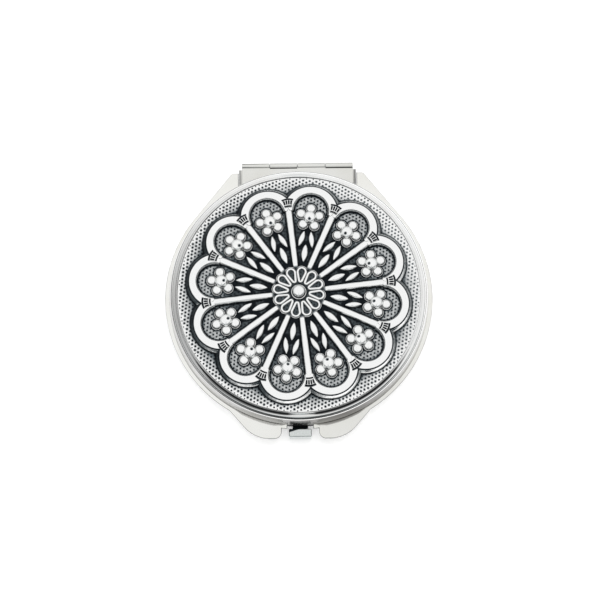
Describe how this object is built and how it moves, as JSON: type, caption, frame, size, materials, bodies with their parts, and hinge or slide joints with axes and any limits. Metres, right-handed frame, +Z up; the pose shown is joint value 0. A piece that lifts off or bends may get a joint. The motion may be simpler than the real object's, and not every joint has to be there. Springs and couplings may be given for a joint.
{
  "type": "lidded hand mirror",
  "caption": "Round metal pocket mirror that lies flat: hinged lid with an embossed medallion, a mirror in each half and a push-button catch.",
  "frame": {"origin": "centre of the case circle, on the underside that it lies on", "axes": "+Z up through the lid, +Y towards the hinge, -Y towards the push button; stored lying flat and closed"},
  "size_m": [0.0698, 0.0741, 0.013],
  "materials": {
    "silver_plate": "polished silver plate",
    "bright_silver": "bright polished silver plate",
    "oxidised_silver": "pressed silver, polished on top and oxidised in the hollows",
    "spring_steel": "plain spring steel",
    "mirror_glass": "silvered flat glass",
    "foam_pad": "double-sided glue pad",
    "filler": "cast resin filler"
  },
  "bodies": {
    "base": {"base_pan": "silver_plate", "base_frame": "bright_silver", "base_pad": "foam_pad", "base_mirror": "mirror_glass", "base_mirror_bezel": "silver_plate", "base_hinge_leaf": "silver_plate", "hinge_pin": "spring_steel", "return_spring": "spring_steel", "spring_post_left": "spring_steel", "spring_post_right": "spring_steel"},
    "lid": {"lid_shell": "silver_plate", "lid_rim_ring": "bright_silver", "medallion_backing": "filler", "medallion": "oxidised_silver", "lid_pad": "foam_pad", "lid_mirror": "mirror_glass", "lid_mirror_bezel": "silver_plate", "lid_hinge_leaf": "silver_plate", "lid_catch": "silver_plate"},
    "button": {"push_button": "silver_plate"}
  },
  "joints": [
    {"name": "lid_hinge", "type": "hinge", "parent": "base", "child": "lid", "pos_m": [0, 0.036, 0.00485], "axis": [-1, 0, 0], "range_deg": [0, 165]},
    {"name": "button_slide", "type": "slide", "parent": "base", "child": "button", "axis": [0, 1, 0], "range_m": [0, 0.0007], "stiffness_N_per_m": 3000, "deforming": ["return_spring"]}
  ]
}
